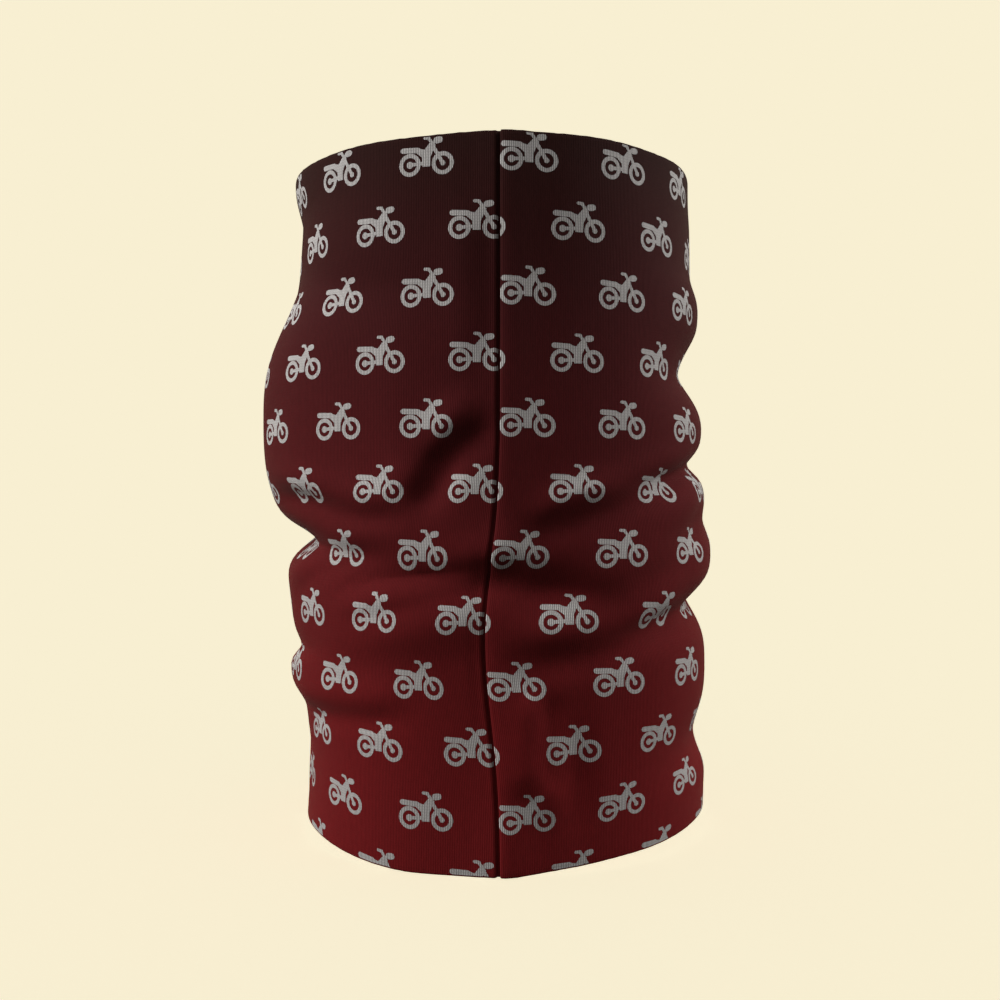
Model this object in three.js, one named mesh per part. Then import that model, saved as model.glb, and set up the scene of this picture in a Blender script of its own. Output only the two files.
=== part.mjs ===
// A neck gaiter as worn: one knit panel bent into a tube and closed by a three-thread overlock seam.
// Millimetres, +Z up. The origin is the centre of the bounding box's underside, and the seam faces -Y.
import * as THREE from "three";

// Driving dimensions.
const RADIUS = 80; // outside of the worn tube, before its folds
const HEIGHT = 256; // hem to hem as worn
const CLOTH = 0.8; // thickness of the knit
const THREAD = 0.36; // diameter of the sewing thread
const GAP = 0.3; // clear space between touching pieces
const ALLOWANCE = 7; // width of the cloth turned in at the seam
const STITCH = 4.2; // height of one looper zigzag
const AXIS = new THREE.Vector2(4.2, -0.9); // the tube's axis, off the middle of its uneven outline
const HEM_LIFT = 6; // how far the lower hem arches up over the wearer's shoulders
const SEAM_OFFSET = 1.5; // the seam sits this far right of the front's middle
const SEAM_DRIFT = 5.2; // and wanders this far left where the cloth is bunched
const ROWS = 36; // rows of facets in the cloth
const ROW = HEIGHT / ROWS;
const RIDGE_POWER = 3; // a ridge is round along its crest
const CREASE_POWER = 1.6; // a crease is sharp along its floor
const SQUARENESS = 1.6; // flattens the front, back and sides, and fills out the corners between

// Depths below the outer face of the right-hand side of the panel, one layer of the seam under another.
const FACE_DEPTH = CLOTH / 2;
const LOWER_LOOPER_DEPTH = CLOTH + GAP + THREAD / 2;
const RIGHT_TURN_DEPTH = CLOTH + 2 * GAP + THREAD + CLOTH / 2;
const LEFT_TURN_DEPTH = RIGHT_TURN_DEPTH + CLOTH + GAP;
const UPPER_LOOPER_DEPTH = LEFT_TURN_DEPTH + CLOTH / 2 + GAP + THREAD / 2;

// Folds of the worn tube. Each is a ridge (out above 0) or a crease (out below 0).
// at: its middle's angle from the seam in degrees, positive to the right seen from outside the seam.
// z: its height there. span: its half-width in degrees. slope: its rise over 90 degrees of angle.
// up, down: how far above and below it fades.
const FOLDS = [
  // left side
  { at: -90, z: 258, span: 62, slope: 0, up: 14, down: 14, out: 3.6 },
  { at: -93, z: 162, span: 62, slope: 4, up: 41, down: 50, out: 17 },
  { at: -86, z: 115, span: 64, slope: -8, up: 7, down: 6, out: -11.4 },
  { at: -90, z: 95, span: 58, slope: -6, up: 13, down: 26, out: 4.6 },
  { at: -92, z: 71, span: 44, slope: 6, up: 4, down: 5, out: -3 },
  { at: -90, z: 61, span: 55, slope: 4, up: 9, down: 10, out: 5.4 },
  { at: -78, z: 27, span: 62, slope: 8, up: 28, down: 34, out: -3.2 },
  { at: -62, z: 131, span: 28, slope: -10, up: 5, down: 6, out: -2.4 },
  // front, first the cloth raised over the seam's turnings
  { at: 3, z: 128, span: 9, slope: 0, up: 1000, down: 1000, out: 1.2 },
  { at: 14, z: 270, span: 34, slope: 0, up: 30, down: 50, out: 2.8 },
  { at: 3, z: -6, span: 16, slope: 0, up: 40, down: 30, out: 1.6 },
  { at: -22, z: 103, span: 27, slope: 16, up: 7, down: 4, out: -4 },
  { at: -24, z: 90, span: 34, slope: 14, up: 8, down: 14, out: 2.4 },
  { at: -17, z: 144, span: 11, slope: 0, up: 11, down: 12, out: -3 },
  { at: -44, z: 208, span: 44, slope: -22, up: 9, down: 12, out: -1.6 },
  { at: 14, z: 99, span: 24, slope: -10, up: 8, down: 9, out: -3.6 },
  { at: 13, z: 36, span: 7, slope: 0, up: 20, down: 16, out: 1.6 },
  { at: 22, z: 34, span: 7, slope: 0, up: 22, down: 18, out: -1.6 },
  // right side
  { at: 88, z: 204, span: 56, slope: 8, up: 12, down: 12, out: 3.8 },
  { at: 82, z: 180, span: 50, slope: 10, up: 10, down: 7, out: -4.2 },
  { at: 88, z: 156, span: 58, slope: 14, up: 16, down: 14, out: 5.6 },
  { at: 74, z: 142, span: 52, slope: 15, up: 6, down: 6, out: -5.6 },
  { at: 84, z: 133, span: 56, slope: 14, up: 10, down: 12, out: 6.6 },
  { at: 84, z: 109, span: 58, slope: 14, up: 13, down: 15, out: 8.8 },
  { at: 72, z: 89, span: 54, slope: 16, up: 6, down: 6, out: -3.4 },
  { at: 86, z: 67, span: 58, slope: 10, up: 18, down: 26, out: 6.4 },
  { at: 88, z: 8, span: 56, slope: 0, up: 20, down: 30, out: 6.6 },
  // back
  { at: 178, z: 196, span: 50, slope: 10, up: 9, down: 9, out: -4 },
  { at: 170, z: 172, span: 58, slope: -6, up: 20, down: 18, out: 4.6 },
  { at: 186, z: 146, span: 54, slope: -14, up: 7, down: 7, out: -5.4 },
  { at: 172, z: 124, span: 60, slope: -8, up: 15, down: 18, out: 5.4 },
  { at: 164, z: 96, span: 50, slope: 14, up: 7, down: 8, out: -4.8 },
  { at: 190, z: 76, span: 58, slope: 8, up: 15, down: 14, out: 4.4 },
  { at: 180, z: 50, span: 56, slope: -8, up: 7, down: 8, out: -4 },
  { at: 180, z: 26, span: 60, slope: 4, up: 14, down: 18, out: 3.4 },
];

const radians = THREE.MathUtils.degToRad;
const ease = THREE.MathUtils.smoothstep;

// An angle as it is measured from the seam: from minus half a turn to half a turn.
function fromSeam(angle) {
  return THREE.MathUtils.euclideanModulo(angle + Math.PI, 2 * Math.PI) - Math.PI;
}

// The share of a fold that reaches an angle and height: its own height slopes with the angle.
function share(fold, angle, z) {
  const from = fromSeam(angle - radians(fold.at));
  const around = Math.abs(from) / radians(fold.span);
  if (around >= 1) return 0;
  const above = z - fold.z - (fold.slope * from) / (Math.PI / 2);
  const across = above / (above > 0 ? fold.up : fold.down);
  const sharpness = fold.out > 0 ? RIDGE_POWER : CREASE_POWER;
  return Math.cos((Math.PI / 2) * around) ** 2 * Math.exp(-(Math.abs(across) ** sharpness));
}

// Where a point of the cloth stands, from its distance round the tube from the seam, its depth under the
// cloth's face and its height above the lower hem.
function worn(girth, depth, z) {
  const angle = fromSeam(girth / RADIUS);
  const bunched = Math.exp(-(((z - 80) / 38) ** 2) - (angle / 0.5) ** 2);
  const turn = angle + (SEAM_OFFSET - SEAM_DRIFT * bunched) / RADIUS;
  let radius = RADIUS - SQUARENESS * Math.cos(4 * turn) - depth;
  for (const fold of FOLDS) radius += fold.out * share(fold, turn, z);
  const shoulder = ease(Math.abs(Math.sin(turn)), 0.34, 1) * (1 - ease(z, 0, 60));
  const lift = (HEM_LIFT + Math.sin(turn)) * shoulder;
  return new THREE.Vector3(AXIS.x + radius * Math.sin(turn), AXIS.y - radius * Math.cos(turn), z + lift);
}

// The same on the cloth's flat facets, which run straight from one row to the next.
function laid(girth, depth, z) {
  const row = Math.floor(z / ROW);
  const low = worn(girth, depth, row * ROW);
  return low.lerp(worn(girth, depth, (row + 1) * ROW), z / ROW - row);
}

// The panel's middle line, as places on a plane of girth and depth. It runs along the right-hand turning, over
// the seam's edge, round the tube, and under that edge as the left-hand turning.
const GIRTH = 2 * Math.PI * RADIUS;
const COLUMNS = 50; // of facets round the tube
const EDGE_RADIUS = (RIGHT_TURN_DEPTH - FACE_DEPTH) / 2;
const DIP_START = -8; // where the left-hand side starts to dip under the edge
const DIP_END = -1;

function panelLine() {
  const line = [];
  const put = (girth, depth) => line.push(new THREE.Vector2(girth, depth));
  for (let i = 0; i < 3; i++) put(ALLOWANCE - (i * (ALLOWANCE - 1)) / 3, RIGHT_TURN_DEPTH);
  for (let i = 0; i <= 5; i++) {
    const a = (Math.PI * i) / 5;
    put(1 - EDGE_RADIUS * Math.sin(a), (RIGHT_TURN_DEPTH + FACE_DEPTH) / 2 + EDGE_RADIUS * Math.cos(a));
  }
  put(4, FACE_DEPTH);
  for (let i = 0; i < COLUMNS; i++) put(8 + ((GIRTH + DIP_START - 8) * i) / COLUMNS, FACE_DEPTH);
  for (let i = 0; i <= 5; i++) {
    const girth = DIP_START + ((DIP_END - DIP_START) * i) / 5;
    const dip = (LEFT_TURN_DEPTH - FACE_DEPTH) * ease(girth, DIP_START, DIP_END);
    put(GIRTH + girth, FACE_DEPTH + dip);
  }
  put(GIRTH + 3, LEFT_TURN_DEPTH);
  put(GIRTH + ALLOWANCE, LEFT_TURN_DEPTH);
  return line;
}

// A flat strip, bent so that its middle follows a line of girth and depth places.
function bentStrip(line, thickness, low, high, rows) {
  const strip = new THREE.BoxGeometry(line.length - 1, thickness, high - low, line.length - 1, 1, rows);
  const at = strip.getAttribute("position");
  const along = new THREE.Vector2();
  for (let i = 0; i < at.count; i++) {
    const n = Math.round(at.getX(i) + (line.length - 1) / 2);
    along.subVectors(line[Math.min(n + 1, line.length - 1)], line[Math.max(n - 1, 0)]).normalize();
    const girth = line[n].x - along.y * at.getY(i);
    const depth = line[n].y + along.x * at.getY(i);
    const place = laid(girth, depth, at.getZ(i) + (low + high) / 2);
    at.setXYZ(i, place.x, place.y, place.z);
  }
  return strip;
}

// A thread's path: straight from each of its points to the next.
class ThreadPath extends THREE.Curve {
  constructor(points) {
    super();
    this.points = points;
  }
  getPointAt(t) {
    return this.points[Math.round(t * (this.points.length - 1))].clone();
  }
  getTangentAt(t) {
    const last = this.points.length - 1;
    const n = Math.round(t * last);
    const ahead = this.points[Math.min(n + 1, last)];
    return new THREE.Vector3().subVectors(ahead, this.points[Math.max(n - 1, 0)]).normalize();
  }
}

// A round thread along a path of points.
function thread(points) {
  const section = new THREE.Shape();
  section.absarc(0, 0, THREAD / 2, 0, 2 * Math.PI);
  const path = new ThreadPath(points);
  const steps = points.length - 1;
  return new THREE.ExtrudeGeometry(section, { extrudePath: path, steps, curveSegments: 3 });
}

// A looper thread. It zigzags between the needle's row and the turnings' cut edges, and dips round that edge.
const LOOPER_INNER = 2.9;
const LOOPER_OUTER = ALLOWANCE + GAP + THREAD / 2;

function looper(depth, edgeDepth) {
  const points = [];
  const count = Math.floor((HEIGHT - 2 * THREAD) / STITCH) - 1;
  const start = (HEIGHT - count * STITCH) / 2;
  const put = (girth, at, z) => points.push(laid(girth, at, z));
  for (let i = 0; i < count; i++) {
    const z = start + i * STITCH;
    put(LOOPER_INNER, depth, z - 0.06 * STITCH);
    put(LOOPER_INNER, depth, z + 0.06 * STITCH);
    put(LOOPER_OUTER - 0.1, depth, z + 0.44 * STITCH);
    put(LOOPER_OUTER, edgeDepth, z + 0.5 * STITCH);
    put(LOOPER_OUTER - 0.1, depth, z + 0.56 * STITCH);
  }
  return thread(points);
}

// The needle thread's row of stitches.
function needleRow() {
  const points = [];
  for (let i = 0; i <= ROWS; i++) {
    const z = THREAD + ((HEIGHT - 2 * THREAD) * i) / ROWS;
    points.push(laid(LOOPER_INNER - GAP - 1.5 * THREAD, UPPER_LOOPER_DEPTH, z));
  }
  return thread(points);
}

// A blank fibre label: a ribbon folded double, that comes out of the seam's cut edge.
const LABEL = {
  start: ALLOWANCE + 1.1, // along the girth
  length: 21,
  width: 14,
  z: 40,
  ply: 0.3,
  outer: 2.3, // depth of its outer ply
  inner: 3.2,
};

function fibreLabel() {
  const line = [];
  const end = LABEL.start + LABEL.length;
  const bend = (LABEL.inner - LABEL.outer) / 2;
  const put = (girth, depth) => line.push(new THREE.Vector2(girth, depth));
  for (let i = 0; i < 4; i++) put(LABEL.start + (LABEL.length * i) / 4, LABEL.outer);
  for (let i = 0; i <= 4; i++) {
    const a = (Math.PI * i) / 4;
    put(end + bend * Math.sin(a), LABEL.outer + bend * (1 - Math.cos(a)));
  }
  for (let i = 3; i >= 0; i--) put(LABEL.start + (LABEL.length * i) / 4, LABEL.inner);
  return bentStrip(line, LABEL.ply, LABEL.z - LABEL.width / 2, LABEL.z + LABEL.width / 2, 3);
}

const knit = new THREE.MeshStandardMaterial({ color: 0x4a1214, roughness: 0.85, metalness: 0 });
const sewing = new THREE.MeshStandardMaterial({ color: 0x1c0e0e, roughness: 0.6, metalness: 0 });
const ribbon = new THREE.MeshStandardMaterial({ color: 0xe8e6e0, roughness: 0.5, metalness: 0 });

function piece(name, geometry, material) {
  const mesh = new THREE.Mesh(geometry, material);
  mesh.name = name;
  return mesh;
}

const gaiter = new THREE.Group();
gaiter.add(
  piece("knit_panel", bentStrip(panelLine(), CLOTH, 0, HEIGHT, ROWS), knit),
  piece("needle_thread", needleRow(), sewing),
  piece("upper_looper_thread", looper(UPPER_LOOPER_DEPTH, LEFT_TURN_DEPTH), sewing),
  piece("lower_looper_thread", looper(LOWER_LOOPER_DEPTH, RIGHT_TURN_DEPTH), sewing),
  piece("fibre_label", fibreLabel(), ribbon),
);
export default gaiter;
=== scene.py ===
import math

import bpy
import numpy as np
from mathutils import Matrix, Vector
from mathutils.geometry import delaunay_2d_cdt


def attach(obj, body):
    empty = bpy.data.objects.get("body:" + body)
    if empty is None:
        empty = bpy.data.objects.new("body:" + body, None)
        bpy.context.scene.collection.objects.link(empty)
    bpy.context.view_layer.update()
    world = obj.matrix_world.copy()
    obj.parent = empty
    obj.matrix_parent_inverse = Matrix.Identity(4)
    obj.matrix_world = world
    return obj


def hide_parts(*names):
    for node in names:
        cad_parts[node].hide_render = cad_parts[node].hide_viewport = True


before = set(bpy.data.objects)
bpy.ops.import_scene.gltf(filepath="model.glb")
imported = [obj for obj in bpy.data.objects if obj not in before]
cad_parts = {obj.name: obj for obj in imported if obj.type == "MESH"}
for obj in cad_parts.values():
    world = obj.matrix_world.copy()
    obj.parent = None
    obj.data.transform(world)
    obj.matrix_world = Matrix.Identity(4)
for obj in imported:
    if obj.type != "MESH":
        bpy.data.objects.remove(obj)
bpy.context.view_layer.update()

MM = 0.001  # shapes are worked out in millimetres and built in metres

# The worn tube. Its plan, axis, lift, seam and folds are those of the CAD model, and the tuck is added.
RADIUS = 80  # outside of the tube, before its folds
HEIGHT = 256  # hem to hem as worn
SQUARENESS = 1.6  # flattens the front, back and sides, and fills out the corners between
AXIS = (4.2, -0.9)  # the tube's axis, off the middle of its uneven outline
HEM_LIFT = 6  # how far the lower hem arches up at both sides
LIFT_FROM = 0.34  # sine of the turn from the front at which that starts
LIFT_HEIGHT = 60  # and the height above which nothing is left of it
HEM_TUCK = 2.4  # the lower hem rises this much more to the right of the seam
TUCK_AT = 0.47  # in radians from the front
TUCK_SPREAD = 0.26
TUCK_HEIGHT = 25
SEAM_OFFSET = 1.5  # the seam sits this far right of the front's middle
SEAM_DRIFT = 5.2  # and wanders this far left where the cloth is bunched
DRIFT_AT = 80
DRIFT_HEIGHT = 38
DRIFT_SPREAD = 0.5  # in radians
RIDGE_POWER = 3  # a ridge is round along its crest
CREASE_POWER = 1.6  # a crease is sharp along its floor
GIRTH = 2 * math.pi * RADIUS

# The cloth and thread, which are finer than their CAD solids.
CLOTH = 0.55  # thickness of the jersey
THREAD = 0.3  # diameter of the sewing thread
GAP = 0.05  # clear space between touching pieces
ALLOWANCE = 7  # width of the cloth turned in at the seam

# Depths below the outer face of the right-hand side of the panel, one layer of the seam under another.
FACE_DEPTH = CLOTH / 2
LOWER_LOOPER_DEPTH = CLOTH + GAP + THREAD / 2
RIGHT_TURN_DEPTH = CLOTH + 2 * GAP + THREAD + CLOTH / 2
LEFT_TURN_DEPTH = RIGHT_TURN_DEPTH + CLOTH + GAP
UPPER_LOOPER_DEPTH = LEFT_TURN_DEPTH + CLOTH / 2 + GAP + THREAD / 2

# Folds of the worn tube, each a ridge (out above 0) or a crease (out below 0), in degrees and millimetres:
# the angle of its middle from the front, its height there, its half-width, its rise over 90 degrees, how far
# above and below it fades, and out.
FOLDS = [
    # left side
    (-90, 258, 62, 0, 14, 14, 3.6),
    (-93, 162, 62, 4, 41, 50, 17),
    (-86, 115, 64, -8, 7, 6, -11.4),
    (-90, 95, 58, -6, 13, 26, 4.6),
    (-92, 71, 44, 6, 4, 5, -3),
    (-90, 61, 55, 4, 9, 10, 5.4),
    (-78, 27, 62, 8, 28, 34, -3.2),
    (-62, 131, 28, -10, 5, 6, -2.4),
    # front, first the cloth raised over the seam's turnings
    (3, 128, 9, 0, 1000, 1000, 1.2),
    (14, 270, 34, 0, 30, 50, 2.8),
    (3, -6, 16, 0, 40, 30, 1.6),
    (-22, 103, 27, 16, 7, 4, -4),
    (-24, 90, 34, 14, 8, 14, 2.4),
    (-17, 144, 11, 0, 11, 12, -3),
    (-44, 208, 44, -22, 9, 12, -1.6),
    (14, 99, 24, -10, 8, 9, -3.6),
    (13, 36, 7, 0, 20, 16, 1.6),
    (22, 34, 7, 0, 22, 18, -1.6),
    # right side
    (88, 204, 56, 8, 12, 12, 3.8),
    (82, 180, 50, 10, 10, 7, -4.2),
    (88, 156, 58, 14, 16, 14, 5.6),
    (74, 142, 52, 15, 6, 6, -5.6),
    (84, 133, 56, 14, 10, 12, 6.6),
    (84, 109, 58, 14, 13, 15, 8.8),
    (72, 89, 54, 16, 6, 6, -3.4),
    (86, 67, 58, 10, 18, 26, 6.4),
    (88, 8, 56, 0, 20, 30, 6.6),
    # back
    (178, 196, 50, 10, 9, 9, -4),
    (170, 172, 58, -6, 20, 18, 4.6),
    (186, 146, 54, -14, 7, 7, -5.4),
    (172, 124, 60, -8, 15, 18, 5.4),
    (164, 96, 50, 14, 7, 8, -4.8),
    (190, 76, 58, 8, 15, 14, 4.4),
    (180, 50, 56, -8, 7, 8, -4),
    (180, 26, 60, 4, 14, 18, 3.4),
]

# Creases laid over those folds. Each has a line of places, as degrees round from the front and height, then
# how steeply the cloth falls across that line, and the widths of the ridge on its left and the hollow on its
# right.
CREASES = [
    # front and sides
    ([(-25, 127), (-20, 134), (-15, 144), (-8, 154), (0, 162)], 0.6, 6, 5),
    ([(-80, 133), (-60, 132), (-45, 128), (-33, 126), (-18, 127)], 0.5, 5, 3.5),
    ([(-74, 94), (-62, 101), (-50, 107), (-38, 112), (-20, 113)], 0.35, 6, 4),
    ([(-46, 88), (-27, 96), (-14, 101), (-1, 106), (10, 109)], 0.55, 6, 5),
    ([(4, 119), (12, 122), (20, 126), (31, 130), (44, 136), (56, 140), (70, 144)], 0.6, 5, 4.5),
    ([(12, 80), (25, 91), (38, 101), (52, 113), (65, 126), (76, 134)], 0.25, 8, 6),
    ([(-4, 77), (16, 78), (31, 81), (46, 87), (60, 93)], 0.45, 6, 5),
    ([(12, 26), (11, 44), (12.5, 66)], 0.65, 5, 4),
    ([(-72, 49), (-56, 52), (-38, 54), (-18, 56)], 0.4, 6, 3.5),
    ([(-5, 168), (-4, 200), (-5, 236)], 0.2, 6, 5),
    # back
    ([(112, 118), (134, 126), (158, 128), (186, 122)], 0.5, 6, 5),
    ([(150, 160), (172, 152), (196, 150), (222, 158)], 0.45, 6, 5),
    ([(140, 84), (164, 92), (190, 90), (214, 80)], 0.5, 6, 5),
    ([(204, 110), (226, 104), (246, 108)], 0.4, 6, 5),
]

# ---------------------------------------------------------------- camera, floor and light

CAMERA_PLACE = (0.0059, -0.4455, 0.1297)  # in metres, as all of this section
FOCAL_LENGTH = 38.3  # these two in millimetres
SENSOR_WIDTH = 36

# The place, size and watts of each lamp.
LAMPS = {
    "left_softbox": ((-0.845, -0.307, 0.72), (0.5, 0.7), 20),
    "right_softbox": ((0.82, -0.04, 0.62), (0.4, 0.6), 11),
    "overhead": ((0, -0.2, 1.6), (1.4, 2.0), 20),
}
LAMPS_AIM = (0, 0, 0.13)

FLOOR_RADIUS = 1.6
COVE_RADIUS = 0.8  # of the curve between floor and wall
COVE_STEPS = 12
WALL_TOP = 3.2
FLOOR_SIDES = 72

PAPER = (0.93, 0.86, 0.64, 1)
PAPER_GLOW = (0.941, 0.866, 0.65, 1)
GLOW_STRENGTH = 0.88
SKY = (1, 0.985, 0.95, 1)
SKY_STRENGTH = 0.12


def make_camera():
    data = bpy.data.cameras.new("camera")
    data.lens = FOCAL_LENGTH
    data.sensor_width = SENSOR_WIDTH
    camera = bpy.data.objects.new("camera", data)
    camera.location = CAMERA_PLACE
    camera.rotation_euler = (math.radians(90), 0, 0)
    bpy.context.scene.collection.objects.link(camera)
    bpy.context.scene.camera = camera


def make_sky():
    world = bpy.data.worlds.new("studio")
    world.use_nodes = True
    sky = world.node_tree.nodes["Background"]
    sky.inputs["Color"].default_value = SKY
    sky.inputs["Strength"].default_value = SKY_STRENGTH
    bpy.context.scene.world = world
    bpy.context.scene.view_settings.view_transform = "Standard"


def area_light(name, place, size, watts):
    data = bpy.data.lights.new(name, "AREA")
    data.shape = "RECTANGLE"
    data.size, data.size_y = size
    data.energy = watts
    lamp = bpy.data.objects.new(name, data)
    lamp.location = place
    lamp.rotation_euler = (Vector(LAMPS_AIM) - Vector(place)).to_track_quat("-Z", "Y").to_euler()
    bpy.context.scene.collection.objects.link(lamp)
    return lamp


def cream_paper():
    """Pale matt paper, lit evenly from behind."""
    paper = bpy.data.materials.new("cream_paper")
    paper.use_nodes = True
    shader = paper.node_tree.nodes["Principled BSDF"]
    shader.inputs["Base Color"].default_value = PAPER
    shader.inputs["Roughness"].default_value = 1.0
    shader.inputs["Specular IOR Level"].default_value = 0.0
    shader.inputs["Emission Color"].default_value = PAPER_GLOW
    shader.inputs["Emission Strength"].default_value = GLOW_STRENGTH
    return paper


def make_floor():
    """A round floor that curves up into a wall all round."""
    profile = [(FLOOR_RADIUS, 0.0)]
    for a in np.linspace(0, math.pi / 2, COVE_STEPS + 1)[1:]:
        profile.append((FLOOR_RADIUS + COVE_RADIUS * math.sin(a), COVE_RADIUS - COVE_RADIUS * math.cos(a)))
    profile.append((FLOOR_RADIUS + COVE_RADIUS, WALL_TOP))
    turns = np.linspace(0, 2 * math.pi, FLOOR_SIDES, endpoint=False)
    verts = [(r * math.cos(a), r * math.sin(a), z) for r, z in profile for a in turns]
    faces = [tuple(range(FLOOR_SIDES))]
    for low in range(0, len(verts) - FLOOR_SIDES, FLOOR_SIDES):
        high = low + FLOOR_SIDES
        for k in range(FLOOR_SIDES):
            m = (k + 1) % FLOOR_SIDES
            faces.append((low + k, high + k, high + m, low + m))
    mesh = bpy.data.meshes.new("floor")
    mesh.from_pydata(verts, [], faces)
    mesh.shade_smooth()
    floor = bpy.data.objects.new("floor", mesh)
    bpy.context.scene.collection.objects.link(floor)
    mesh.materials.append(cream_paper())
    return floor


def make_studio():
    make_sky()
    lamps = [area_light(name, *details) for name, details in LAMPS.items()]
    floor = make_floor()

    # The paper glows and throws no colour back, and the lamps are flagged off it.
    floor.visible_diffuse = False
    floor.visible_shadow = False
    flagged = bpy.data.collections.new("flagged")
    flagged.objects.link(floor)
    flagged.collection_objects[0].light_linking.link_state = "EXCLUDE"
    for lamp in lamps:
        lamp.light_linking.receiver_collection = flagged


make_camera()
make_studio()

# ---------------------------------------------------------------- the cloth's shape

CREASE_STEPS = 12  # points from each place of a crease to the next
CREASE_REACH = 4  # how far aside it reaches, in times the wider of its two widths
CREASE_START = 0.3  # share of its length by which it is fully there
CREASE_FADE = 0.75  # share of its length after which it fades
NORMAL_STEP = 0.4  # to either side of a place, to find which way the cloth faces there


def ease(x, low, high):
    """From 0 to 1 as x goes from low to high, gently at both ends."""
    t = np.clip((x - low) / (high - low), 0, 1)
    return t * t * (3 - 2 * t)


def from_seam(angle):
    """The same angle, from minus half a turn to half a turn."""
    return (angle + math.pi) % (2 * math.pi) - math.pi


def plan_radius(turn, z):
    """The tube's radius with its folds, at angles round from the front and heights."""
    radius = RADIUS - SQUARENESS * np.cos(4 * turn)
    for at, height, span, slope, up, down, out in FOLDS:
        aside = from_seam(turn - math.radians(at))
        around = np.minimum(np.abs(aside) / math.radians(span), 1)
        above = z - height - slope * aside / (math.pi / 2)
        across = np.abs(above / np.where(above > 0, up, down))
        power = RIDGE_POWER if out > 0 else CREASE_POWER
        radius = radius + out * np.cos(math.pi / 2 * around) ** 2 * np.exp(-(across**power))
    return radius


def worn(girth, z):
    """The outer face of the worn tube, from distances round it from the seam and up from its lower hem."""
    angle = from_seam(girth / RADIUS)
    bunched = np.exp(-(((z - DRIFT_AT) / DRIFT_HEIGHT) ** 2) - (angle / DRIFT_SPREAD) ** 2)
    turn = angle + (SEAM_OFFSET - SEAM_DRIFT * bunched) / RADIUS
    radius = plan_radius(turn, z)
    side = ease(np.abs(np.sin(turn)), LIFT_FROM, 1)
    lift = (HEM_LIFT + np.sin(turn)) * side * (1 - ease(z, 0, LIFT_HEIGHT))
    lift += HEM_TUCK * np.exp(-(((turn - TUCK_AT) / TUCK_SPREAD) ** 2)) * (1 - ease(z, 0, TUCK_HEIGHT))
    return np.stack([AXIS[0] + radius * np.sin(turn), AXIS[1] - radius * np.cos(turn), z + lift], axis=-1)


def spline_shares(t):
    """The shares of four points in a smooth curve, between the second of them and the third."""
    return (
        (-t + 2 * t**2 - t**3) / 2,
        (2 - 5 * t**2 + 3 * t**3) / 2,
        (t + 4 * t**2 - 3 * t**3) / 2,
        (-(t**2) + t**3) / 2,
    )


def smooth_line(points):
    """Close points along a crease, in millimetres round from the front and up from the lower hem."""
    points = np.array(points, float) * (math.radians(RADIUS), 1)
    padded = np.concatenate([2 * points[:1] - points[1:2], points, 2 * points[-1:] - points[-2:-1]])
    shares = spline_shares(np.linspace(0, 1, CREASE_STEPS, endpoint=False)[:, None])
    line = []
    for four in zip(padded, padded[1:], padded[2:], padded[3:]):
        line.append(sum(share * point for share, point in zip(shares, four)))
    return np.concatenate([*line, points[-1:]])


def crease_height(cloth):
    """How far the creases stand out from each point of the cloth, in millimetres."""
    turn = np.arctan2(cloth[..., 0] - AXIS[0], AXIS[1] - cloth[..., 1])
    total = np.zeros(turn.shape)
    for points, slope, ridge, hollow in CREASES:
        line = smooth_line(points)
        middle = math.radians(points[len(points) // 2][0])
        spots = np.stack([(middle + from_seam(turn - middle)) * RADIUS, cloth[..., 2]], axis=-1)
        ahead = np.gradient(line, axis=0)
        ahead /= np.linalg.norm(ahead, axis=1, keepdims=True)
        reach = CREASE_REACH * max(ridge, hollow)
        low, high = line.min(axis=0) - reach, line.max(axis=0) + reach
        near = np.all((spots > low) & (spots < high), axis=-1)
        offset = spots[near][:, None] - line
        nearest = (offset**2).sum(axis=-1).argmin(axis=1)
        offset = offset[np.arange(len(nearest)), nearest]
        aside = ahead[nearest, 0] * offset[:, 1] - ahead[nearest, 1] * offset[:, 0]
        width = np.where(aside > 0, ridge, hollow)
        along = nearest / (len(line) - 1)
        fade = ease(along, 0, CREASE_START) * (1 - ease(along, CREASE_FADE, 1))
        total[near] += slope * aside * np.exp(-((aside / width) ** 2) / 2) * fade
    return total


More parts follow.
